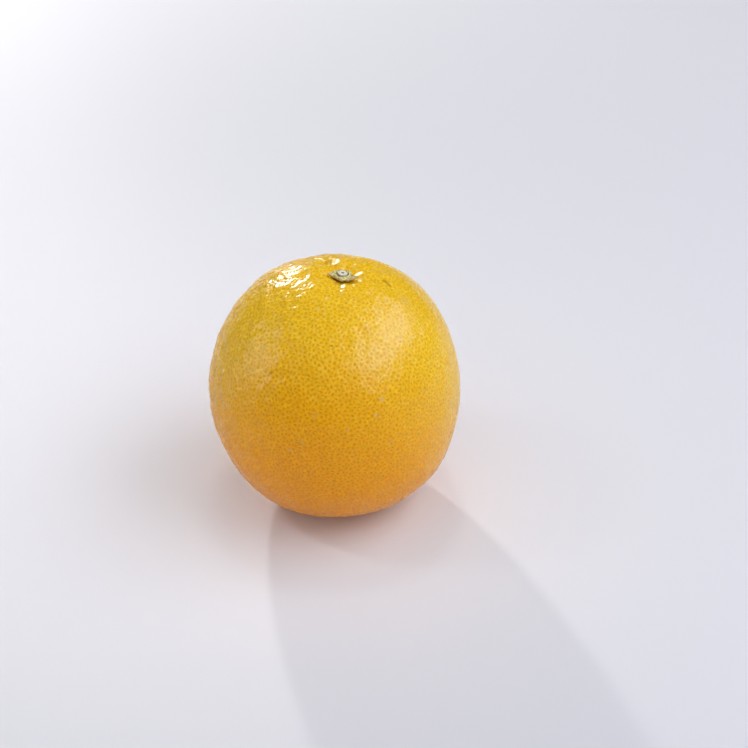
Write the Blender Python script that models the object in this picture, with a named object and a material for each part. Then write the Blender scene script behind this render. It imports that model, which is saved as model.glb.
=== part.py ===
# Navel orange: the fruit with its navel, the calyx on its stem end and the cut stub of the stem.
# Metres, +Z up. The origin is on the resting plane, under the middle of the fruit.
import math
import random

import bmesh
import bpy
from mathutils import Vector, kdtree, noise

MM = 0.001

# The body, measured from its widest level. A fullness of 2 is an ellipse, and more is squarer.
HALF_WIDTH = 40.0 * MM
UPPER_HEIGHT = 42.3 * MM
LOWER_HEIGHT = 41.0 * MM
UPPER_FULLNESS = 2.11
LOWER_FULLNESS = 2.28
UPPER_LEAN = 0.05       # extra fullness on the +X side
LOWER_LEAN = 0.16
RESTING_CUT = 0.9 * MM  # how far up the flat resting spot cuts the round bottom

# Broad swells and flats of the peel: azimuth, elevation, height and half width in degrees.
SWELLS = [
    (0, 0, 0.36 * MM, 12),
    (13, 18, -0.39 * MM, 14),
    (36, 41, 0.26 * MM, 14),
    (61, 51, -0.23 * MM, 11),
    (98, 53, -0.24 * MM, 13),
    (136, 46, 0.48 * MM, 13),
    (161, 26, -0.20 * MM, 13),
    (176, 7, 0.16 * MM, 12),
    (195, -20, -0.11 * MM, 14),
    (224, -46, 0.44 * MM, 14),
    (238, -50, 0.20 * MM, 11),
    (288, -55, -0.45 * MM, 14),
    (324, -40, -0.42 * MM, 11),
    (331, -36, 0.30 * MM, 14),
]

# The stem end: a wide shallow bowl with a narrow one inside it, off the middle of the fruit.
STEM_X = 2.9 * MM
STEM_Y = 2.8 * MM
BOWL_DEPTH = 1.3 * MM
BOWL_RADIUS = 12.0 * MM
CUP_DEPTH = 1.7 * MM
CUP_RADIUS = 5.6 * MM
CUP_WALL = 6            # how sharply the cup's floor turns up into its wall

# Folds that run out from the stem end: azimuth in degrees, height and half width in degrees.
FOLDS = [
    (14, 0.55 * MM, 9),
    (52, 0.35 * MM, 12),
    (98, 0.72 * MM, 11),
    (128, -0.62 * MM, 7),
    (162, 0.50 * MM, 11),
    (222, 0.55 * MM, 11),
    (279, 0.65 * MM, 9),
    (326, 0.60 * MM, 9),
    (348, -0.40 * MM, 6),
]
FOLD_REACH = 8.5 * MM   # distance from the stem where the folds stand highest

# The navel: a bud of a second small fruit, sunk in a puckered opening at the blossom end.
NAVEL_X = -0.6 * MM
NAVEL_Y = -0.4 * MM
NAVEL_CREASE = 3.9 * MM   # radius of the crease between the bud and the lip
NAVEL_LIP = 6.5 * MM
NAVEL_DEPTH = 2.3 * MM
BUD_RECESS = 0.9 * MM
BUD_GROOVE = 0.5 * MM
BUD_LOBES = 5
LIP_PUCKERS = 9
NAVEL_UNEVEN = 0.06       # share by which the crease and the lip are out of round

# Skin pits, larger than life, and the mesh that carries them.
SKIN_CUTS = 24
RELAX_ROUNDS = 12
POLE_CROWDING = 0.58    # share by which the mesh is drawn in towards each end
POLE_SPREAD = math.radians(18)
PIT_SPACING = 3.3 * MM
PIT_DEPTH = 0.50 * MM
PIT_VARIETY = 0.25      # share by which a pit may be deeper or shallower
PIT_SEED = 27
STEM_CLEAR = 7.5 * MM   # no pits nearer the stem than this
STEM_FADE = 6.0 * MM
REST_CLEAR = 0.4 * MM   # no pits lower than this over the resting spot
REST_FADE = 2.5 * MM

# The calyx: five lobes, each with its azimuth in degrees, its reach and its half width in degrees.
CALYX_LOBES = [
    (184, 4.3 * MM, 40),
    (280, 4.75 * MM, 38),
    (321, 5.4 * MM, 28),
    (45, 3.5 * MM, 45),
    (130, 3.6 * MM, 45),
]
CALYX_RADIUS = 5.0 * MM   # radius of the turned profile, before the lobes
CALYX_STEPS = 70
LOBE_NOTCH = 0.30         # share of its reach that a lobe loses at its half width
LOBE_SHORTEST = 3.2 * MM
LOBE_LIFT = 0.80 * MM
LOBE_RAGGED = 0.06        # share by which its edge is ragged
LOBE_THICKNESS = 0.9 * MM
WART_HEIGHT = 0.22 * MM
WART_SIZE = 0.7 * MM
COLLAR_RADIUS = 2.7 * MM
COLLAR_HEIGHT = 1.4 * MM
SOCKET_RADIUS = 1.95 * MM
SOCKET_FLOOR = 0.5 * MM

# The cut stub of the stem, in the calyx's socket.
STUB_RADIUS = 1.6 * MM
STUB_TOP = 2.0 * MM
STUB_STEPS = 28
STUB_TILT = 0.10          # how far its cut face leans down towards +X
PITH_RADIUS = 0.4 * MM
PITH_DEPTH = 0.18 * MM
EDGE_ROUND = 0.2 * MM

GAP = 0.3 * MM            # clearance between pieces that touch


def clear_scene():
    for old in list(bpy.data.objects):
        bpy.data.objects.remove(old, do_unlink=True)


def make_material(name, color, roughness):
    material = bpy.data.materials.new(name)
    material.use_nodes = True
    shader = material.node_tree.nodes["Principled BSDF"]
    shader.inputs["Base Color"].default_value = (*color, 1.0)
    shader.inputs["Roughness"].default_value = roughness
    shader.inputs["Metallic"].default_value = 0.0
    return material


def make_object(name, bm, material):
    bmesh.ops.recalc_face_normals(bm, faces=bm.faces[:])
    bmesh.ops.triangulate(bm, faces=bm.faces[:])
    mesh = bpy.data.meshes.new(name)
    bm.to_mesh(mesh)
    bm.free()
    mesh.materials.append(material)
    mesh.shade_smooth()
    piece = bpy.data.objects.new(name, mesh)
    bpy.context.scene.collection.objects.link(piece)
    return piece


def hump(distance, width):
    return math.exp(-(distance / width) ** 2)


def turn_between(angle, other):
    return math.remainder(angle - other, math.tau)


def outline_power(x, around, upper):
    side = x / around if around > 0 else 0.0
    if upper:
        return UPPER_FULLNESS + UPPER_LEAN * side
    return LOWER_FULLNESS + LOWER_LEAN * side


def swell_height(direction):
    height = 0.0
    for azimuth, elevation, swell, width in SWELLS:
        level = math.cos(math.radians(elevation))
        middle = Vector((
            level * math.cos(math.radians(azimuth)),
            level * math.sin(math.radians(azimuth)),
            math.sin(math.radians(elevation)),
        ))
        height += swell * hump(direction.angle(middle), math.radians(width))
    return height


def body_point(direction):
    # The smooth body where a line from the middle of its widest level meets it.
    around = math.hypot(direction.x, direction.y)
    upper = direction.z > 0
    power = outline_power(direction.x, around, upper)
    height = UPPER_HEIGHT if upper else LOWER_HEIGHT
    reach = ((around / HALF_WIDTH) ** power + (abs(direction.z) / height) ** power) ** (-1 / power)
    return direction * (reach + swell_height(direction))


def stem_relief(x, y):
    # How far the bowl, the cup and the folds move the top of the body up or down.
    away = math.hypot(x - STEM_X, y - STEM_Y)
    angle = math.atan2(y - STEM_Y, x - STEM_X)
    rise = -BOWL_DEPTH * hump(away, BOWL_RADIUS)
    rise -= CUP_DEPTH / (1 + (away / CUP_RADIUS) ** CUP_WALL)
    share = away / FOLD_REACH
    strength = share ** 3 * math.exp(3 * (1 - share))
    for azimuth, height, width in FOLDS:
        turn = turn_between(angle, math.radians(azimuth))
        rise += strength * height * hump(turn, math.radians(width))
    return rise


def top_height(x, y):
    # Height of the finished top of the fruit over the body's widest level, near the stem.
    around = math.hypot(x, y)
    power = outline_power(x, around, True)
    plain = UPPER_HEIGHT * (1 - (around / HALF_WIDTH) ** power) ** (1 / power)
    return plain + stem_relief(x, y)


def navel_relief(x, y):
    # How far the navel is sunk into the bottom of the body.
    away = math.hypot(x - NAVEL_X, y - NAVEL_Y)
    angle = math.atan2(y - NAVEL_Y, x - NAVEL_X)
    pucker = 0.5 + 0.5 * math.cos(LIP_PUCKERS * angle)
    crease = NAVEL_CREASE * (1 + NAVEL_UNEVEN * math.cos(2 * angle + 0.6))
    lip = NAVEL_LIP * (1 + NAVEL_UNEVEN * pucker)
    if away > lip:
        return 0.0
    if away > crease:
        share = (away - crease) / (lip - crease)
        return NAVEL_DEPTH * (0.5 + 0.5 * math.cos(math.pi * share))
    share = away / crease
    groove = 4 * share * (1 - share) * hump(math.sin(BUD_LOBES * angle / 2), 0.4)
    return BUD_RECESS + (NAVEL_DEPTH - BUD_RECESS) * share ** 4 + BUD_GROOVE * groove


def skin_sphere():
    # A unit sphere of even triangles, drawn in towards the two ends.
    bm = bmesh.new()
    bmesh.ops.create_icosphere(bm, subdivisions=1, radius=1.0)
    bmesh.ops.subdivide_edges(bm, edges=bm.edges[:], cuts=SKIN_CUTS - 1, use_grid_fill=True)
    for _ in range(RELAX_ROUNDS):
        for vert in bm.verts:
            vert.co.normalize()
        bmesh.ops.smooth_vert(
            bm, verts=bm.verts[:], factor=0.5, use_axis_x=True, use_axis_y=True, use_axis_z=True)
    for vert in bm.verts:
        vert.co.normalize()
        polar = math.acos(max(-1.0, min(1.0, vert.co.z)))
        from_end = min(polar, math.pi - polar)
        drawn = from_end * (1 - POLE_CROWDING * hump(from_end, POLE_SPREAD))
        around = math.hypot(vert.co.x, vert.co.y)
        if around > 0:
            scale = math.sin(drawn) / around
            level = math.copysign(math.cos(drawn), vert.co.z)
            vert.co = (vert.co.x * scale, vert.co.y * scale, level)
    return bm


def shape_skin(bm):
    for vert in bm.verts:
        point = body_point(vert.co)
        if point.z > 0:
            point.z += stem_relief(point.x, point.y)
        else:
            point.z += navel_relief(point.x, point.y)
        vert.co = point


def pit_fade(point):
    # Pits are full over the body, and none lie under the calyx or on the resting spot.
    from_stem = math.hypot(point.x - STEM_X, point.y - STEM_Y)
    over_rest = point.z + LOWER_HEIGHT - RESTING_CUT
    fade = min(1.0, max(0.0, (over_rest - REST_CLEAR) / REST_FADE))
    if point.z > 0:
        fade *= min(1.0, max(0.0, (from_stem - STEM_CLEAR) / STEM_FADE))
    return fade


def press_pits(bm):
    bm.normal_update()
    rng = random.Random(PIT_SEED)
    order = list(bm.verts)
    rng.shuffle(order)
    tree = kdtree.KDTree(len(bm.verts))
    for vert in bm.verts:
        tree.insert(vert.co, vert.index)
    tree.balance()
    taken = set()
    pits = []
    for vert in order:
        if vert.index in taken:
            continue
        depth = PIT_DEPTH * rng.uniform(1 - PIT_VARIETY, 1 + PIT_VARIETY)
        pits.append((vert, depth * pit_fade(vert.co)))
        taken.update(index for _, index, _ in tree.find_range(vert.co, PIT_SPACING))
    for vert, depth in pits:
        vert.co = vert.co - vert.normal * depth


def make_fruit(material):
    bm = skin_sphere()
    shape_skin(bm)
    bm.verts.index_update()
    press_pits(bm)
    floor = -LOWER_HEIGHT + RESTING_CUT
    for vert in bm.verts:
        vert.co.z = max(vert.co.z, floor)
    low = Vector(min(vert.co[axis] for vert in bm.verts) for axis in range(3))
    high = Vector(max(vert.co[axis] for vert in bm.verts) for axis in range(3))
    shift = Vector((-(low.x + high.x) / 2, -(low.y + high.y) / 2, -floor))
    for vert in bm.verts:
        vert.co += shift
    return make_object("fruit", bm, material), shift


def lobe_reach(angle):
    reach = 0.0
    for azimuth, length, width in CALYX_LOBES:
        turn = turn_between(angle, math.radians(azimuth)) / math.radians(width)
        reach = max(reach, length * (1 - LOBE_NOTCH * turn * turn))
    round_edge = Vector((math.cos(angle), math.sin(angle), 0.0))
    return max(LOBE_SHORTEST, reach * (1 + LOBE_RAGGED * noise.noise(4 * round_edge)))


def turned_profile(profile, steps):
    # A closed solid turned from a profile that starts and ends on the axis.
    bm = bmesh.new()
    verts = [bm.verts.new((radius, 0.0, height)) for radius, height in profile]
    edges = [bm.edges.new(pair) for pair in zip(verts, verts[1:])]
    bmesh.ops.spin(
        bm, geom=verts + edges, cent=(0, 0, 0), axis=(0, 0, 1), angle=math.tau,
        steps=steps, use_merge=True)
    bmesh.ops.remove_doubles(bm, verts=bm.verts[:], dist=0.001 * MM)
    return bm


def settle(bm):
    # Heights in a turned piece are over the fruit's skin. Its origin is on the skin at the stem.
    base = top_height(STEM_X, STEM_Y)
    for vert in bm.verts:
        vert.co.z += top_height(STEM_X + vert.co.x, STEM_Y + vert.co.y) - base


def make_calyx(material):
    # Profile heights are over the underside, from the middle out along it and back over the top.
    edge = CALYX_RADIUS
    thick = LOBE_THICKNESS
    underside = [(edge * share, 0.0) for share in (0, 0.2, 0.4, 0.6, 0.8)]
    lobe = [
        (0.97 * edge, 0.1 * thick), (edge, 0.3 * thick), (0.95 * edge, 0.55 * thick),
        (0.85 * edge, 0.8 * thick), (0.75 * edge, 0.95 * thick), (0.66 * edge, thick),
    ]
    collar = [
        (COLLAR_RADIUS, 0.8 * COLLAR_HEIGHT), (COLLAR_RADIUS - EDGE_ROUND, 0.96 * COLLAR_HEIGHT),
        (SOCKET_RADIUS + EDGE_ROUND, COLLAR_HEIGHT), (SOCKET_RADIUS, COLLAR_HEIGHT - EDGE_ROUND),
    ]
    socket = [
        (SOCKET_RADIUS, SOCKET_FLOOR + EDGE_ROUND), (SOCKET_RADIUS - EDGE_ROUND, SOCKET_FLOOR),
        (0, SOCKET_FLOOR),
    ]
    bm = turned_profile(underside + lobe + collar + socket, CALYX_STEPS)
    for vert in bm.verts:
        x, y, height = vert.co
        radius = math.hypot(x, y)
        outer = max(0.0, (radius - COLLAR_RADIUS) / (edge - COLLAR_RADIUS))
        stretch = 1 + outer * (lobe_reach(math.atan2(y, x)) / edge - 1)
        height += LOBE_LIFT * outer ** 2 + GAP
        if outer > 0 and vert.co.z > 0.2 * thick:
            height += WART_HEIGHT * noise.noise(vert.co / WART_SIZE)
        vert.co = (x * stretch, y * stretch, height)
    settle(bm)
    return make_object("calyx", bm, material)


def make_stub(material):
    bottom = GAP + SOCKET_FLOOR + GAP
    top = STUB_TOP
    side = STUB_RADIUS
    profile = [
        (0, bottom), (0.5 * side, bottom), (side - EDGE_ROUND, bottom),
        (side, bottom + EDGE_ROUND), (side, top - EDGE_ROUND),
        (side - 0.6 * EDGE_ROUND, top - 0.2 * EDGE_ROUND), (0.75 * side, top),
        (PITH_RADIUS, top - 0.2 * EDGE_ROUND),
        (0.5 * PITH_RADIUS, top - PITH_DEPTH), (0, top - PITH_DEPTH),
    ]
    bm = turned_profile(profile, STUB_STEPS)
    for vert in bm.verts:
        if vert.co.z > bottom + EDGE_ROUND:
            vert.co.z -= STUB_TILT * vert.co.x
    settle(bm)
    return make_object("stem_stub", bm, material)


def main():
    clear_scene()
    peel = make_material("orange_peel", (0.78, 0.36, 0.02), 0.38)
    calyx_skin = make_material("calyx_skin", (0.36, 0.34, 0.15), 0.8)
    cut_wood = make_material("cut_stem", (0.68, 0.62, 0.52), 0.75)
    _, shift = make_fruit(peel)
    stem_end = bpy.data.objects.new("stem_end", None)
    bpy.context.scene.collection.objects.link(stem_end)
    stem_end.location = Vector((STEM_X, STEM_Y, top_height(STEM_X, STEM_Y))) + shift
    for piece in (make_calyx(calyx_skin), make_stub(cut_wood)):
        piece.parent = stem_end


main()
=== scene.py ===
# Navel orange standing on a pale table, stem end up
import math
import random

import bmesh
import bpy
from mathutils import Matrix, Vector, kdtree, noise
from mathutils.geometry import delaunay_2d_cdt


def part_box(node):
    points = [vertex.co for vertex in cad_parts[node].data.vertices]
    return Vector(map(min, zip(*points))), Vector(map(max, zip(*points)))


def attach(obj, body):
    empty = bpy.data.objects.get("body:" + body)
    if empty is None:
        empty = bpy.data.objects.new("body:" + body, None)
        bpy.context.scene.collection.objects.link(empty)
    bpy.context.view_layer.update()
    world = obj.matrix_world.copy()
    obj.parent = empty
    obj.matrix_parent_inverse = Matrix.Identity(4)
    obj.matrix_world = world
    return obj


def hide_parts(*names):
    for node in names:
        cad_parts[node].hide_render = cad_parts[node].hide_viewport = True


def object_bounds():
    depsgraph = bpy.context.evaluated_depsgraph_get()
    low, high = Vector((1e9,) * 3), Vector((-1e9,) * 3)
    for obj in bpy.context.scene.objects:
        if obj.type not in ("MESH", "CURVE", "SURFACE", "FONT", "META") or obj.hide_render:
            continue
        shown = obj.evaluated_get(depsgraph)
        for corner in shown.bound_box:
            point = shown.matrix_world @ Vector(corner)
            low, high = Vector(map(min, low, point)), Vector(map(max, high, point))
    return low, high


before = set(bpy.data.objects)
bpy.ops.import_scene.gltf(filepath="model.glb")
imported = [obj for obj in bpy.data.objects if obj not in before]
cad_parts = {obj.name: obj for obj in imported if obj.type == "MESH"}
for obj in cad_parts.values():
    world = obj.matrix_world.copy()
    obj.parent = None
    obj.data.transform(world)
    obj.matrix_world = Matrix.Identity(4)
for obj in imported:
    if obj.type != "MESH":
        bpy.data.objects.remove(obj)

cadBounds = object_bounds()
mm = 0.001  # the pieces are modelled in millimetres and scaled at the end


def hump(distance, width):
    return math.exp(-(distance / width) ** 2)


def turnBetween(angle, other):
    return math.remainder(angle - other, math.tau)


def clamp01(value):
    return min(1.0, max(0.0, value))


def smoothStep(value):
    t = clamp01(value)
    return t * t * (3 - 2 * t)


def towards(azimuth, elevation):
    a = math.radians(azimuth)
    e = math.radians(elevation)
    return Vector((math.cos(e) * math.cos(a), math.cos(e) * math.sin(a), math.sin(e)))


# The body of the fruit, measured from the middle of its widest level
body = {
    "halfWidth": 40.0,
    "upperHeight": 42.3,
    "lowerHeight": 41.0,
    "upperFullness": 2.11,  # 2 is an ellipse, more is squarer
    "lowerFullness": 2.28,
    "upperLean": 0.05,  # extra fullness towards +X
    "lowerLean": 0.16,
    "restingCut": 0.9,
    "swells": [  # azimuth, elevation, height, half width in degrees
        (0, 0, 0.36, 12),
        (13, 18, -0.39, 14),
        (36, 41, 0.26, 14),
        (61, 51, -0.23, 11),
        (98, 53, -0.24, 13),
        (136, 46, 0.48, 13),
        (161, 26, -0.20, 13),
        (176, 7, 0.16, 12),
        (195, -20, -0.11, 14),
        (224, -46, 0.44, 14),
        (238, -50, 0.20, 11),
        (288, -55, -0.45, 14),
        (324, -40, -0.42, 11),
        (331, -36, 0.30, 14),
    ],
}

swellMiddles = [
    (towards(azimuth, elevation), height, math.radians(width))
    for azimuth, elevation, height, width in body["swells"]
]


def fullness(x, around, upper):
    side = x / around if around > 0 else 0.0
    if upper:
        return body["upperFullness"] + body["upperLean"] * side
    return body["lowerFullness"] + body["lowerLean"] * side


def bodyPoint(direction):
    around = math.hypot(direction.x, direction.y)
    upper = direction.z > 0
    power = fullness(direction.x, around, upper)
    height = body["upperHeight"] if upper else body["lowerHeight"]
    total = (around / body["halfWidth"]) ** power + (abs(direction.z) / height) ** power
    reach = total ** (-1 / power)
    for middle, swell, width in swellMiddles:
        reach += swell * hump(direction.angle(middle), width)
    return direction * reach


# The sunken stem end and the folds that run out from it
stem = {
    "x": 2.9,
    "y": 2.8,
    "bowlDepth": 1.3,
    "bowlRadius": 12.0,
    "cupDepth": 1.7,
    "cupRadius": 5.6,
    "cupWall": 6,  # how sharply the cup's floor turns up into its wall
    "foldReach": 8.5,
    "folds": [  # azimuth, height, half width in degrees
        (14, 0.55, 9),
        (52, 0.35, 12),
        (98, 0.72, 11),
        (128, -0.62, 7),
        (162, 0.50, 11),
        (222, 0.55, 11),
        (279, 0.65, 9),
        (326, 0.60, 9),
        (348, -0.40, 6),
    ],
}

foldLines = [
    (math.radians(azimuth), height, math.radians(width))
    for azimuth, height, width in stem["folds"]
]


def stemRelief(x, y):
    away = math.hypot(x - stem["x"], y - stem["y"])
    angle = math.atan2(y - stem["y"], x - stem["x"])
    rise = -stem["bowlDepth"] * hump(away, stem["bowlRadius"])
    rise -= stem["cupDepth"] / (1 + (away / stem["cupRadius"]) ** stem["cupWall"])
    share = away / stem["foldReach"]
    strength = share ** 3 * math.exp(3 * (1 - share))
    for azimuth, height, width in foldLines:
        rise += strength * height * hump(turnBetween(angle, azimuth), width)
    return rise


def topHeight(x, y):
    around = math.hypot(x, y)
    power = fullness(x, around, True)
    share = (around / body["halfWidth"]) ** power
    return body["upperHeight"] * (1 - share) ** (1 / power) + stemRelief(x, y)


# The navel underneath: a small second fruit in a puckered opening
navel = {
    "x": -0.6,
    "y": -0.4,
    "crease": 3.9,
    "lip": 6.5,
    "depth": 2.3,
    "budRecess": 0.9,
    "budGroove": 0.5,
    "budLobes": 5,
    "puckers": 9,
    "uneven": 0.06,
}


def navelRelief(x, y):
    away = math.hypot(x - navel["x"], y - navel["y"])
    angle = math.atan2(y - navel["y"], x - navel["x"])
    pucker = 0.5 + 0.5 * math.cos(navel["puckers"] * angle)
    crease = navel["crease"] * (1 + navel["uneven"] * math.cos(2 * angle + 0.6))
    lip = navel["lip"] * (1 + navel["uneven"] * pucker)
    if away > lip:
        return 0.0
    if away > crease:
        return navel["depth"] * (0.5 + 0.5 * math.cos(math.pi * (away - crease) / (lip - crease)))
    share = away / crease
    groove = 4 * share * (1 - share) * hump(math.sin(navel["budLobes"] * angle / 2), 0.4)
    rise = navel["budRecess"] + (navel["depth"] - navel["budRecess"]) * share ** 4
    return rise + navel["budGroove"] * groove


# Where the body's middle lies in the frame: sideways from the stem stub, upwards from the resting cut
stubLow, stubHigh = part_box("stem_stub")
shift = Vector((
    (stubLow.x + stubHigh.x) / (2 * mm) - stem["x"],
    (stubLow.y + stubHigh.y) / (2 * mm) - stem["y"],
    body["lowerHeight"] - body["restingCut"],
))


def finishPiece(name, bm, material, node):
    for face in bm.faces:
        face.smooth = True
    bmesh.ops.translate(bm, vec=shift, verts=bm.verts[:])
    bmesh.ops.scale(bm, vec=(mm, mm, mm), verts=bm.verts[:])
    mesh = bpy.data.meshes.new(name)
    bm.to_mesh(mesh)
    bm.free()
    mesh.materials.append(material)
    piece = bpy.data.objects.new(name, mesh)
    bpy.context.scene.collection.objects.link(piece)
    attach(piece, "root")
    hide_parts(node)
    print(name, "has", len(mesh.polygons), "faces")
    return piece


def addNode(material, kind, **settings):
    node = material.node_tree.nodes.new(kind)
    for key, value in settings.items():
        setattr(node, key, value)
    return node


def newMaterial(name, settings):
    material = bpy.data.materials.new(name)
    material.use_nodes = True
    shader = material.node_tree.nodes["Principled BSDF"]
    for socket, value in settings.items():
        shader.inputs[socket].default_value = value
    return material, shader, material.node_tree.links.new


def noiseNode(material, coords, scale, detail=2.0, rough=0.5):
    node = addNode(material, "ShaderNodeTexNoise")
    node.inputs["Scale"].default_value = scale
    node.inputs["Detail"].default_value = detail
    node.inputs["Roughness"].default_value = rough
    material.node_tree.links.new(coords, node.inputs["Vector"])
    return node.outputs["Fac"]


def rangeNode(material, value, fromLow, fromHigh, toLow=0.0, toHigh=1.0):
    node = addNode(material, "ShaderNodeMapRange")
    material.node_tree.links.new(value, node.inputs["Value"])
    for socket, number in zip(node.inputs[1:5], (fromLow, fromHigh, toLow, toHigh)):
        socket.default_value = number
    return node.outputs["Result"]


def mottleNode(material, coords, scale, detail, low=0.0, high=1.0, rough=0.5):
    # noise that mostly runs from low to high
    return rangeNode(material, noiseNode(material, coords, scale, detail, rough), 0.3, 0.7, low, high)


def mathNode(material, operation, first, second):
    node = addNode(material, "ShaderNodeMath", operation=operation)
    for socket, value in zip(node.inputs, (first, second)):
        if isinstance(value, (int, float)):
            socket.default_value = value
        else:
            material.node_tree.links.new(value, socket)
    return node.outputs["Value"]


def mixNode(material, factor, first, second, blend="MIX"):
    node = addNode(material, "ShaderNodeMix", data_type="RGBA", blend_type=blend)
    for socket, value in zip((node.inputs[0], node.inputs[6], node.inputs[7]), (factor, first, second)):
        if isinstance(value, (int, float)):
            socket.default_value = value
        elif isinstance(value, tuple):
            socket.default_value = (*value, 1.0)
        else:
            material.node_tree.links.new(value, socket)
    return node.outputs[2]


def rampNode(material, value, stops):
    node = addNode(material, "ShaderNodeValToRGB")
    ramp = node.color_ramp
    while len(ramp.elements) < len(stops):
        ramp.elements.new(1.0)
    for element, (place, color) in zip(ramp.elements, stops):
        element.position = place
        element.color = (*color, 1.0)
    material.node_tree.links.new(value, node.inputs["Fac"])
    return node.outputs["Color"]


def attributeNode(material, name):
    node = addNode(material, "ShaderNodeAttribute", attribute_name=name)
    return node.outputs["Fac"]


def bumpNode(material, coords, scale, detail, distance, strength, below=None):
    height = noiseNode(material, coords, scale, detail)
    node = addNode(material, "ShaderNodeBump")
    node.inputs["Strength"].default_value = strength
    node.inputs["Distance"].default_value = distance
    material.node_tree.links.new(height, node.inputs["Height"])
    if below is not None:
        material.node_tree.links.new(below, node.inputs["Normal"])
    return node.outputs["Normal"]


# The peel: its glands sit close together as small pits, each a darker dot in a paler net
skin = {
    "glands": 10400,
    "shake": 0.32,  # how far they are shaken out of their even places, in pitches
    "rounds": 2,  # of pushing them apart again
    "neighbours": 6,
    "push": 0.25,
    "room": 1.08,  # in pitches
    "closest": 0.1,  # in pitches, so that no push grows without limit
    "seed": 11,
    "sizes": (0.7, 1.15),
    "pitDepth": 0.15,
    "roughPits": 0.3,  # how much deeper they are on the rough side
    "waves": [(9.0, 0.30), (2.8, 0.26), (1.4, 0.11)],  # size and height
    "roughSide": (168, 40),  # azimuth and elevation of the side where the waves stand highest
    "roughFade": (-0.1, 0.8),  # where that side starts, as a cosine, and how wide its fade is
    "calmShare": 0.5,  # how high the waves are on the other side
    "roughShare": 0.6,
    "calyxFade": (4.0, 4.0),  # where the relief starts round the stem, and how wide its fade is
    "ridges": [  # from and to across the top, height, half width
        ((-10.0, -10.8), (-5.2, -4.8), 0.20, 0.7),
        ((10.2, -7.0), (11.9, -3.2), 0.22, 0.7),
        ((-1.5, 8.4), (4.4, 9.6), 0.24, 0.8),
        ((-14.5, 1.0), (-9.0, 4.5), 0.22, 0.8),
    ],
    "wrinkles": {"around": 6.0, "length": 7.0, "height": 0.30, "reach": 17.0},
    "marks": [  # from and to as azimuth and elevation, half width, kind, strength
        ((-107, 69), (-106, 68), 0.43, "pale", 0.45),
        ((-100, 67), (-99, 66), 0.37, "pale", 0.38),
        ((-98, 75), (-96, 74), 0.37, "pale", 0.38),
        ((-67, 28), (-65, 27), 0.43, "pale", 0.52),
        ((-70, 21), (-69, 21), 0.37, "pale", 0.68),
        ((-64, 7), (-63, 6), 0.37, "pale", 0.38),
        ((-104, 10), (-103, 9), 0.37, "pale", 0.38),
        ((-110, 5), (-108, 4), 0.43, "pale", 0.38),
        ((-98, 23), (-98, 22), 0.31, "pale", 0.38),
        ((-83, 17), (-83, 16), 0.31, "pale", 0.38),
        ((-90, 55), (-89, 55), 0.25, "pale", 0.38),
        ((-14, 59), (-12, 57), 1.44, "pale", 0.26),
        ((-55, 22), (-54, 22), 0.31, "pale", 0.38),
        ((-44, 47), (-44, 47), 0.28, "brown", 0.8),
        ((-90, 52), (-90, 52), 0.35, "brown", 0.8),
        ((-124, 36), (-124, 36), 0.35, "brown", 0.6),
        ((-105, 9), (-105, 9), 0.3, "brown", 0.5),
        ((6, 68), (-1, 65), 0.5, "brown", 0.5),
        ((112, 76), (96, 74), 0.7, "brown", 0.35),
        ((40, 12), (40, 12), 0.35, "brown", 0.8),
        ((75, -8), (75, -8), 0.35, "brown", 0.7),
        ((150, 20), (152, 18), 0.37, "pale", 0.45),
        ((60, 30), (63, 29), 0.43, "pale", 0.45),
        ((100, 5), (101, 3), 0.37, "pale", 0.45),
        ((20, -25), (21, -25), 0.37, "pale", 0.38),
    ],
    "markEdge": {"reach": 2.5, "fade": 1.4, "ragged": 0.5, "size": 0.6},  # in half widths, size in mm
    # brown painted on the skin under the calyx: painted shade in the hollow its lobes overhang, and
    # partly the skin's own stain there
    "stainAndShade": {"strength": 0.8, "reach": 4.0, "fade": 1.2},  # brown, under the calyx
}


def treeOf(points):
    tree = kdtree.KDTree(len(points))
    for index, point in enumerate(points):
        tree.insert(point, index)
    tree.balance()
    return tree


def glandSpots():
    # a spiral of even spots on a unit sphere, shaken, then pushed apart a little
    count = skin["glands"]
    pitch = math.sqrt(4 * math.pi / count)
    rng = random.Random(skin["seed"])
    spots = []
    for i in range(count):
        level = 1 - 2 * (i + 0.5) / count
        turn = i * math.pi * (3 - math.sqrt(5))
        around = math.sqrt(1 - level * level)
        shake = Vector((rng.gauss(0, 1), rng.gauss(0, 1), rng.gauss(0, 1))) * skin["shake"] * pitch
        spot = Vector((around * math.cos(turn), around * math.sin(turn), level)) + shake
        spots.append(spot.normalized())
    for _ in range(skin["rounds"]):
        near = treeOf(spots)
        moved = []
        for spot in spots:
            push = Vector()
            for other, _, away in near.find_n(spot, skin["neighbours"] + 1)[1:]:
                short = max(0.0, skin["room"] * pitch - away)
                push += (spot - other) * (skin["push"] * short / max(away, skin["closest"] * pitch))
            moved.append((spot + push).normalized())
        spots = moved
    return spots


def skinSphere():
    # one corner for each gland, joined by the flattest triangles, each cut into nine; the corners
    # are laid out flat from the sphere's top to join them, and a last corner closes the top
    spots = sorted(glandSpots(), key=lambda spot: spot.z)
    spots.pop()
    flat = [Vector((spot.x, spot.y)) / (1 - spot.z) for spot in spots]
    _, _, triangles, _, _, _ = delaunay_2d_cdt(flat, [], [], 0, 1e-7)
    bm = bmesh.new()
    corners = [bm.verts.new(spot) for spot in spots]
    for triangle in triangles:
        bm.faces.new([corners[index] for index in triangle])
    spots.append(Vector((0, 0, 1)))
    top = bm.verts.new(spots[-1])
    for edge in [edge for edge in bm.edges if edge.is_boundary]:
        bm.faces.new((edge.verts[0], edge.verts[1], top))
    bmesh.ops.recalc_face_normals(bm, faces=bm.faces[:])
    bmesh.ops.subdivide_edges(bm, edges=bm.edges[:], cuts=2, use_grid_fill=True)
    for vert in bm.verts:
        vert.co.normalize()
    return bm, spots


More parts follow.
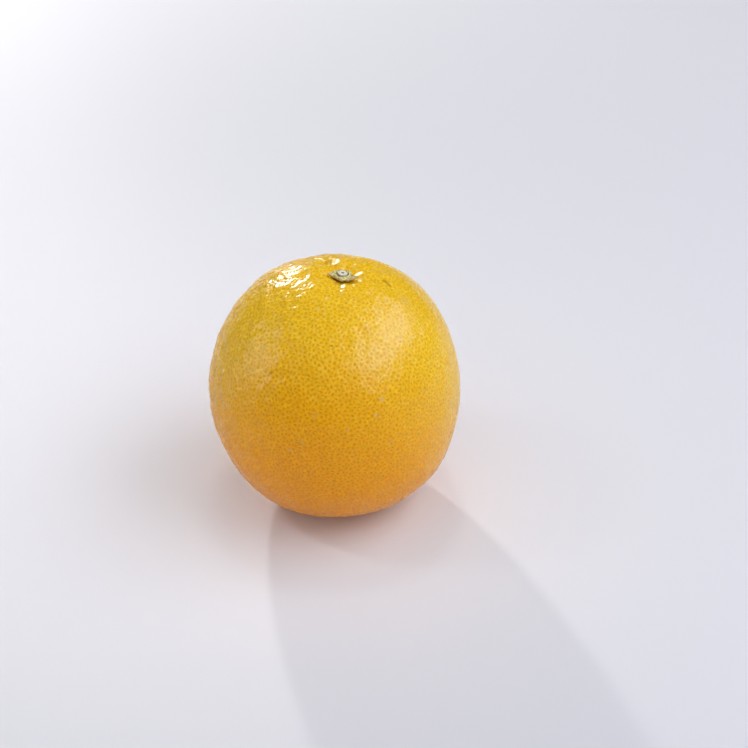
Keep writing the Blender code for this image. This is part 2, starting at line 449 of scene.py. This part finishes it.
def wrinkle(point, away):
    # fine creases that run out from the stem
    lines = skin["wrinkles"]
    angle = math.atan2(point.y - stem["y"], point.x - stem["x"])
    around = lines["around"]
    place = Vector((around * math.cos(angle), around * math.sin(angle), away / lines["length"]))
    return lines["height"] * noise.noise(place) * hump(away, lines["reach"])


def ridges(point):
    # short ridges by the stem, which catch the light
    rise = 0.0
    place = Vector((point.x, point.y))
    for start, end, height, width in skin["ridges"]:
        a = Vector(start)
        along = Vector(end) - a
        share = clamp01((place - a).dot(along) / along.length_squared)
        rise += height * hump((place - a - along * share).length, width)
    return rise


def measureGlands(bm, spots, layer):
    # 0 in the middle of a gland, 1 from about a third of the way to the next one
    near = treeOf(spots)
    rng = random.Random(skin["seed"])
    sizes = [rng.uniform(*skin["sizes"]) for _ in spots]
    for vert in bm.verts:
        first, second = near.find_n(vert.co, 2)
        share = 3 * first[2] / (first[2] + second[2])
        vert[layer] = min(1.0, share / sizes[first[1]])


def shapeSkin(bm, layer):
    roughSide = towards(*skin["roughSide"])
    roughStart, roughWidth = skin["roughFade"]
    fadeStart, fadeWidth = skin["calyxFade"]
    for vert in bm.verts:
        point = bodyPoint(vert.co)
        outward = point.normalized()
        uneven = sum(height * noise.noise(point / size) for size, height in skin["waves"])
        rough = smoothStep((outward.dot(roughSide) - roughStart) / roughWidth)
        uneven *= skin["calmShare"] + skin["roughShare"] * rough
        uneven -= skin["pitDepth"] * (1 + skin["roughPits"] * rough) * (1 - smoothStep(vert[layer]))
        if point.z > 0:
            away = math.hypot(point.x - stem["x"], point.y - stem["y"])
            uneven += wrinkle(point, away)
            uneven *= smoothStep((away - fadeStart) / fadeWidth)
            uneven += ridges(point)
            point.z += stemRelief(point.x, point.y)
        else:
            point.z += navelRelief(point.x, point.y)
        point += outward * uneven
        vert.co = (point.x, point.y, max(point.z, body["restingCut"] - body["lowerHeight"]))


def paintMarks(bm, tree, layers):
    # spots and short scars with a ragged edge
    edge = skin["markEdge"]
    for start, end, width, kind, strength in skin["marks"]:
        a = bodyPoint(towards(*start))
        b = bodyPoint(towards(*end))
        a = tree.find(a)[0]
        b = tree.find(b)[0]
        along = b - a
        middle = (a + b) / 2
        for spot, index, _ in tree.find_range(middle, along.length / 2 + edge["reach"] * width):
            share = clamp01((spot - a).dot(along) / max(along.length_squared, 1e-6))
            away = (spot - a - along * share).length
            ragged = 1 + edge["ragged"] * noise.noise(spot / edge["size"])
            value = strength * smoothStep(edge["fade"] - away / (width * ragged))
            vert = bm.verts[index]
            vert[layers[kind]] = max(vert[layers[kind]], value)


# paints brown on the skin under the calyx: painted shade where the lobes overhang the hollow, and
# partly the skin's own stain
def paintStainAndShade(bm, layer):
    stainAndShade = skin["stainAndShade"]
    for vert in bm.verts:
        away = math.hypot(vert.co.x - stem["x"], vert.co.y - stem["y"])
        if vert.co.z > 0:
            value = stainAndShade["strength"] * smoothStep((stainAndShade["reach"] - away) / stainAndShade["fade"])
            vert[layer] = max(vert[layer], value)


# The peel's colours run upwards from the resting spot, and a dot's is the net's times its tint
peelLook = {
    "net": [
        (0.0, (0.84, 0.32, 0.003)),
        (0.17, (0.88, 0.34, 0.001)),
        (0.45, (0.96, 0.40, 0.001)),
        (0.66, (0.97, 0.47, 0.003)),
        (0.80, (0.95, 0.52, 0.010)),
        (0.91, (0.96, 0.575, 0.016)),
        (1.0, (0.97, 0.60, 0.020)),
    ],
    "tint": [
        (0.15, (0.88, 0.64, 0.05)),
        (0.6, (0.89, 0.69, 0.05)),
        (1.0, (0.93, 0.78, 0.10)),
    ],
    "middle": -0.006,  # in metres along X, where the peel is most orange
    "aside": 162.5,  # how fast it turns yellower towards both sides
    # noises: how fine, how much detail, and the values they run between
    "patches": (24, 3, -0.06, 0.06),
    "clouds": (1500, 2, 0.85, 1.10),
    "ragged": (1400, 2, -0.08, 0.08),
    "roughness": (260, 3, 0.21, 0.30),
    "dotEdge": (0.62, 1.04),  # where a dot fades into the net, as measureGlands counts
    # the next four make thin pale lines along the net: a painted highlight on the pits' rims
    "lineEdge": (0.9, 1.06),
    "lineHighlightTint": (1.05, 1.16, 4.0),
    "lineNoise": (900, 1),
    "lineBreaks": (0.42, 0.62, 0.15, 1.0),  # from the noise's range to the lines' strength
    "pale": (0.84, 0.60, 0.27),
    # the brown below is for the specks and scars, and for the painted shade under the calyx
    "brown": (0.13, 0.05, 0.015),
    # bumps: how fine, how much detail, how deep in metres, and how strong
    "wavy": (700, 2, 0.00011, 1.0),
    "fine": (2600, 2, 0.00003, 0.6),
    "shader": {
        "Specular IOR Level": 0.13,
        "Coat Weight": 0.18,
        "Coat Roughness": 0.13,
        "Subsurface Weight": 0.1,
        "Subsurface Radius": (1.0, 0.45, 0.1),
        "Subsurface Scale": 0.0015,
    },
}


def peelMaterial():
    material, shader, link = newMaterial("orange_peel", peelLook["shader"])
    coords = addNode(material, "ShaderNodeTexCoord").outputs["Object"]
    split = addNode(material, "ShaderNodeSeparateXYZ")
    link(coords, split.inputs["Vector"])
    level = rangeNode(material, split.outputs["Z"], 0.0, cadBounds[1][2])
    patch = mottleNode(material, coords, *peelLook["patches"])
    level = mathNode(material, "ADD", level, patch)
    aside = mathNode(material, "SUBTRACT", split.outputs["X"], peelLook["middle"])
    aside = mathNode(material, "MULTIPLY", aside, aside)
    aside = mathNode(material, "MULTIPLY", aside, peelLook["aside"])
    level = mathNode(material, "ADD", level, aside)
    cloud = mottleNode(material, coords, *peelLook["clouds"])
    net = mixNode(material, 1.0, rampNode(material, level, peelLook["net"]), cloud, "MULTIPLY")
    dot = mixNode(material, 1.0, net, rampNode(material, level, peelLook["tint"]), "MULTIPLY")
    ragged = mottleNode(material, coords, *peelLook["ragged"])
    away = mathNode(material, "ADD", attributeNode(material, "glands"), ragged)
    dots = rangeNode(material, away, *peelLook["dotEdge"], 1.0, 0.0)
    # thin pale lines follow the net here and there: a painted highlight, as if the pits' rims caught
    # the light
    broken = noiseNode(material, coords, *peelLook["lineNoise"])
    broken = rangeNode(material, broken, *peelLook["lineBreaks"])
    lines = mathNode(material, "MULTIPLY", rangeNode(material, away, *peelLook["lineEdge"]), broken)
    net = mixNode(material, lines, net, mixNode(material, 1.0, net, peelLook["lineHighlightTint"], "MULTIPLY"))
    color = mixNode(material, dots, net, dot)
    for kind in ("pale", "brown"):
        color = mixNode(material, attributeNode(material, kind), color, peelLook[kind])
    link(color, shader.inputs["Base Color"])
    link(mottleNode(material, coords, *peelLook["roughness"]), shader.inputs["Roughness"])
    wavy = bumpNode(material, coords, *peelLook["wavy"])
    link(bumpNode(material, coords, *peelLook["fine"], wavy), shader.inputs["Normal"])
    return material


def makePeel():
    bm, spots = skinSphere()
    layers = {name: bm.verts.layers.float.new(name) for name in ("glands", "pale", "brown")}
    measureGlands(bm, spots, layers["glands"])
    shapeSkin(bm, layers["glands"])
    bm.verts.ensure_lookup_table()
    paintMarks(bm, treeOf([vert.co for vert in bm.verts]), layers)
    paintStainAndShade(bm, layers["brown"])
    return finishPiece("peel", bm, peelMaterial(), "fruit")


# The calyx: a warty button with five lobes that follows the skin under it
calyx = {
    "gap": 0.3,
    "radius": 5.0,
    "steps": 180,
    "lobes": [  # azimuth, reach and half width in degrees; the second and third make one blunt lobe
        (180, 4.4, 28),
        (273, 4.7, 24),
        (293, 4.6, 26),
        (323, 5.7, 22),
        (45, 3.2, 45),
        (135, 3.5, 40),
    ],
    "notch": 0.45,
    "lobePower": 1.5,  # 1 is pointed, 2 is round
    "shortest": 2.5,
    "lift": 0.70,
    "ragged": [(4, 0.12), (13, 0.144)],  # waves round its edge: how fine and how high
    "thickness": 0.8,
    "wartHeight": 0.32,
    "wartSize": 0.62,
    "wartReach": 0.75,  # in sizes
    "rimStart": 0.8,  # from the collar outwards
    "collarRadius": 2.2,
    "collarHeight": 1.3,
    "socketRadius": 1.85,
    "socketFloor": 0.5,
    "edgeRound": 0.2,
    "mottleNoise": (900, 4, 0.0, 1.0, 0.6),
    "mottle": [
        (0.0, (0.27, 0.20, 0.035)),
        (0.45, (0.53, 0.43, 0.10)),
        (1.0, (0.74, 0.62, 0.21)),
    ],
    "crumbs": (0.84, 0.76, 0.40),
    "crumbStart": 0.55,
    "rim": (0.60, 0.49, 0.20),
    "fine": (3800, 3, 0.0001, 0.6),  # bumps, in the same order as the peel's
    "shader": {"Roughness": 0.78},
}


def turnProfile(profile, steps):
    bm = bmesh.new()
    verts = [bm.verts.new((radius, 0.0, height)) for radius, height in profile]
    edges = [bm.edges.new(pair) for pair in zip(verts, verts[1:])]
    bmesh.ops.spin(
        bm, geom=verts + edges, cent=(0, 0, 0), axis=(0, 0, 1), angle=math.tau,
        steps=steps, use_merge=True)
    bmesh.ops.remove_doubles(bm, verts=bm.verts[:], dist=0.0005)
    bmesh.ops.recalc_face_normals(bm, faces=bm.faces[:])
    return bm


def finerProfile(profile, longest):
    # adds points along the straight stretches of a turned profile
    finer = [profile[0]]
    for (r0, h0), (r1, h1) in zip(profile, profile[1:]):
        pieces = max(1, math.ceil(math.hypot(r1 - r0, h1 - h0) / longest))
        for i in range(1, pieces + 1):
            finer.append((r0 + (r1 - r0) * i / pieces, h0 + (h1 - h0) * i / pieces))
    return finer


def settle(bm):
    for vert in bm.verts:
        vert.co.x += stem["x"]
        vert.co.y += stem["y"]
        vert.co.z += topHeight(vert.co.x, vert.co.y)


def lobeReach(angle):
    reach = 0.0
    for azimuth, length, width in calyx["lobes"]:
        turn = turnBetween(angle, math.radians(azimuth)) / math.radians(width)
        reach = max(reach, length * (1 - calyx["notch"] * abs(turn) ** calyx["lobePower"]))
    around = Vector((math.cos(angle), math.sin(angle), 0.0))
    ragged = sum(height * noise.noise(fine * around) for fine, height in calyx["ragged"])
    return max(calyx["shortest"], reach * (1 + ragged))


def wart(point):
    # 1 on top of a wart, 0 between two of them
    distances, _ = noise.voronoi(point / calyx["wartSize"])
    return math.sqrt(clamp01(1 - (distances[0] / calyx["wartReach"]) ** 2))


def calyxMaterial():
    material, shader, link = newMaterial("calyx_skin", calyx["shader"])
    coords = addNode(material, "ShaderNodeTexCoord").outputs["Object"]
    mottle = mottleNode(material, coords, *calyx["mottleNoise"])
    color = rampNode(material, mottle, calyx["mottle"])
    crumbs = rangeNode(material, attributeNode(material, "warts"), calyx["crumbStart"], 1.0)
    color = mixNode(material, crumbs, color, calyx["crumbs"])
    color = mixNode(material, attributeNode(material, "edge"), color, calyx["rim"])
    link(color, shader.inputs["Base Color"])
    link(bumpNode(material, coords, *calyx["fine"]), shader.inputs["Normal"])
    return material


def makeCalyx():
    radius = calyx["radius"]
    thick = calyx["thickness"]
    collar = calyx["collarRadius"]
    tall = calyx["collarHeight"]
    socket = calyx["socketRadius"]
    deep = calyx["socketFloor"]
    soft = calyx["edgeRound"]
    profile = [
        (0, 0), (0.8 * radius, 0), (0.97 * radius, 0.1 * thick), (radius, 0.3 * thick),
        (0.95 * radius, 0.5 * thick), (0.85 * radius, 0.68 * thick), (0.75 * radius, 0.84 * thick),
        (0.62 * radius, thick), (collar, 0.8 * tall), (collar - soft, 0.96 * tall),
        (socket + soft, tall), (socket, tall - soft), (socket, deep + soft),
        (socket - soft, deep), (0, deep),
    ]
    bm = turnProfile(finerProfile(profile, 0.2), calyx["steps"])
    warts = bm.verts.layers.float.new("warts")
    edge = bm.verts.layers.float.new("edge")
    for vert in bm.verts:
        x, y, height = vert.co
        outer = max(0.0, (math.hypot(x, y) - collar) / (radius - collar))
        stretch = 1 + outer * (lobeReach(math.atan2(y, x)) / radius - 1)
        raised = wart(Vector((x * stretch, y * stretch, height)))
        # warts fade in up the rim, and there are none in the socket
        top = smoothStep((height - 0.15 * thick) / (0.3 * thick))
        if math.hypot(x, y) < socket + 0.5 * soft:
            top = 0.0
        vert[warts] = top * raised
        vert[edge] = smoothStep((outer - calyx["rimStart"]) / (1 - calyx["rimStart"]))
        height += calyx["gap"] + calyx["lift"] * outer ** 2
        height += calyx["wartHeight"] * (raised - 0.5) * top
        vert.co = (x * stretch, y * stretch, height)
    settle(bm)
    return finishPiece("calyx_button", bm, calyxMaterial(), "calyx")


# The cut stub of the stem in the calyx's socket
stub = {
    "radius": 1.6,
    "steps": 96,
    "bottom": 1.1,
    "top": 2.0,
    "edgeRound": 0.2,
    "tilt": 0.10,
    "pithRadius": 0.4,
    "pithDepth": 0.18,
    "pithFade": 1.6,  # in its radius
    # the stub's side and outer edge are darkened: its bark, and painted shade where it stands in the
    # calyx's socket
    "barkAndShadeStart": 0.9,  # in the stub's radius
    "grain": 0.05,
    "grainFine": (3, 5),  # outwards and around
    "mottleNoise": (1500, 3),
    "mottle": [
        (0.0, (0.52, 0.46, 0.33)),
        (0.5, (0.77, 0.72, 0.54)),
        (1.0, (0.90, 0.87, 0.72)),
    ],
    "pith": (0.20, 0.15, 0.09),
    # dark brown for the bark, which is also painted shade in the socket
    "barkAndShade": (0.22, 0.19, 0.09),
    "fine": (5000, 2, 0.00006, 0.5),  # bumps, in the same order as the peel's
    "shader": {"Roughness": 0.7},
}


def stubMaterial():
    material, shader, link = newMaterial("cut_stem", stub["shader"])
    coords = addNode(material, "ShaderNodeTexCoord").outputs["Object"]
    mottle = mottleNode(material, coords, *stub["mottleNoise"])
    color = rampNode(material, mottle, stub["mottle"])
    for kind in ("pith", "barkAndShade"):
        color = mixNode(material, attributeNode(material, kind), color, stub[kind])
    link(color, shader.inputs["Base Color"])
    link(bumpNode(material, coords, *stub["fine"]), shader.inputs["Normal"])
    return material


def makeStub():
    side = stub["radius"]
    bottom = stub["bottom"]
    top = stub["top"]
    soft = stub["edgeRound"]
    pith = stub["pithRadius"]
    profile = [
        (0, bottom), (side - soft, bottom), (side, bottom + soft), (side, top - soft),
        (side - 0.6 * soft, top - 0.2 * soft), (0.75 * side, top), (pith, top - 0.2 * soft),
        (0.5 * pith, top - stub["pithDepth"]), (0, top - stub["pithDepth"]),
    ]
    bm = turnProfile(finerProfile(profile, 0.15), stub["steps"])
    pithLayer = bm.verts.layers.float.new("pith")
    barkAndShadeLayer = bm.verts.layers.float.new("barkAndShade")
    barkAndShade = stub["barkAndShadeStart"]
    outwards, around = stub["grainFine"]
    for vert in bm.verts:
        x, y, height = vert.co
        away = math.hypot(x, y)
        angle = math.atan2(y, x)
        upper = smoothStep((height - bottom - soft) / soft)
        vert[pithLayer] = upper * smoothStep(stub["pithFade"] - away / pith)
        # bark and painted shade: darkest on the side that stands in the socket, half as dark round the
        # top's edge
        vert[barkAndShadeLayer] = smoothStep((away / side - barkAndShade) / (1 - barkAndShade)) * (1 - 0.5 * upper)
        place = Vector((outwards * away, around * math.cos(angle), around * math.sin(angle)))
        vert.co.z += upper * (stub["grain"] * noise.noise(place) - stub["tilt"] * x)
    settle(bm)
    return finishPiece("stem_end_stub", bm, stubMaterial(), "stem_stub")


# The table top under the fruit
table = {
    "size": 3.0,
    "shader": {"Base Color": (0.83, 0.83, 0.865, 1.0), "Roughness": 0.55, "Specular IOR Level": 0.2},
}


def makeTable():
    bm = bmesh.new()
    bmesh.ops.create_grid(bm, x_segments=1, y_segments=1, size=table["size"])
    mesh = bpy.data.meshes.new("table_top")
    bm.to_mesh(mesh)
    bm.free()
    mesh.materials.append(newMaterial("table_top", table["shader"])[0])
    piece = bpy.data.objects.new("table_top", mesh)
    bpy.context.scene.collection.objects.link(piece)


# The camera looks along +Y and down at the fruit
view = {
    "elevation": 35.35,
    "distance": 0.650,
    "lookHeight": 0.041,
    "sideways": 0.01253,
    "upwards": 0.0030,
    "lens": 97.56,
}


def makeCamera():
    camera = bpy.data.cameras.new("camera")
    camera.lens = view["lens"]
    camera.clip_start = 0.01
    holder = bpy.data.objects.new("camera", camera)
    back = towards(-90, view["elevation"])
    upwards = towards(90, 90 - view["elevation"])
    holder.location = Vector((view["sideways"], 0, view["lookHeight"]))
    holder.location += back * view["distance"] + upwards * view["upwards"]
    holder.rotation_euler = back.to_track_quat("Z", "Y").to_euler()
    bpy.context.scene.collection.objects.link(holder)
    bpy.context.scene.camera = holder


# The lamps of a small studio: angles in degrees, distance and size in metres, power in watts
lamps = {
    "key": {"azimuth": 110, "elevation": 20, "distance": 0.9, "size": 0.05, "power": 2.7,
            "color": (1.0, 0.98, 0.95)},
    "softbox": {"azimuth": -8, "elevation": 48, "distance": 0.8, "size": 0.8, "height": 0.5,
                "power": 3.0, "color": (0.97, 1.0, 1.06), "shine": False},
    "side": {"azimuth": 185, "elevation": 22, "distance": 1.0, "size": 0.8, "power": 0.35,
             "color": (1.0, 1.0, 1.0)},
    # these only add to the reflections
    "keyShine": {"azimuth": 110, "elevation": 20, "distance": 0.91, "size": 0.05, "power": 0.8,
                 "color": (1.0, 1.0, 1.0), "fill": False},
    "sideShine": {"azimuth": 185, "elevation": 22, "distance": 1.01, "size": 0.8, "power": 5.0,
                  "color": (1.0, 1.0, 1.0), "fill": False},
    # these two brighten the table on the left and the top of the fruit, and aren't mirrored
    "leftPool": {"azimuth": 180, "elevation": 60, "distance": 0.8, "size": 0.1, "power": 0.058,
                 "color": (1.0, 1.0, 1.0), "shine": False, "spread": 34, "aim": (-0.19, 0.0, 0)},
    "topPool": {"azimuth": 90, "elevation": 75, "distance": 0.8, "size": 0.15, "power": 0.026,
                "color": (1.0, 1.0, 1.0), "shine": False, "spread": 36, "aim": (0, 0.02, 0.04)},
}

# The softbox is mirrored as layers of growing size, one behind the other, so that its edges fade
glow = {"azimuth": -11, "elevation": 45.5, "color": (0.55, 0.8, 1.45), "fill": False}
glowLayers = {
    "count": 8,
    "wide": 1.9,
    "high": 0.75,
    "bright": 3.2,  # watts for each square metre of a layer
    "nearest": 0.8,
    "gap": 0.01,
}
for number in range(glowLayers["count"]):
    share = (number + 0.5) / glowLayers["count"]
    wide = glowLayers["wide"] * share
    high = glowLayers["high"] * share
    lamps["glow_%d" % number] = {
        **glow, "size": wide, "height": high, "power": glowLayers["bright"] * wide * high,
        "distance": glowLayers["nearest"] + glowLayers["gap"] * number}


def makeLamp(name, lamp):
    light = bpy.data.lights.new(name, "AREA")
    light.shape = "RECTANGLE" if "height" in lamp else "DISK"
    light.size = lamp["size"]
    light.size_y = lamp.get("height", lamp["size"])
    light.energy = lamp["power"]
    light.color = lamp["color"]
    light.spread = math.radians(lamp.get("spread", 180))
    middle = Vector(lamp.get("aim", (0, 0, view["lookHeight"])))
    holder = bpy.data.objects.new(name, light)
    holder.visible_glossy = lamp.get("shine", True)
    holder.visible_diffuse = lamp.get("fill", True)
    holder.location = middle + towards(lamp["azimuth"], lamp["elevation"]) * lamp["distance"]
    holder.rotation_euler = (middle - holder.location).to_track_quat("-Z", "Y").to_euler()
    bpy.context.scene.collection.objects.link(holder)


# The room's light comes from the camera's side and fades to nothing at the dark end
room = {
    "color": (0.99, 0.98, 1.04),
    "bright": 0.72,
    "brightSide": (0.14, -0.80, 0.58),
    "darkEnd": -0.3,
}


def makeWorld():
    world = bpy.data.worlds.new("studio")
    world.use_nodes = True
    background = world.node_tree.nodes["Background"]
    background.inputs["Color"].default_value = (*room["color"], 1.0)
    coords = addNode(world, "ShaderNodeTexCoord").outputs["Generated"]
    side = addNode(world, "ShaderNodeVectorMath", operation="DOT_PRODUCT")
    side.inputs[1].default_value = room["brightSide"]
    world.node_tree.links.new(coords, side.inputs[0])
    strength = rangeNode(world, side.outputs["Value"], room["darkEnd"], 1.0, 0.0, room["bright"])
    world.node_tree.links.new(strength, background.inputs["Strength"])
    bpy.context.scene.world = world
    world.cycles_visibility.glossy = False
    bpy.context.scene.view_settings.view_transform = "Standard"


makeCamera()
makeWorld()
makeTable()
for name, lamp in lamps.items():
    makeLamp(name, lamp)
print("the studio is set")
makePeel()
makeCalyx()
makeStub()

bpy.context.view_layer.update()
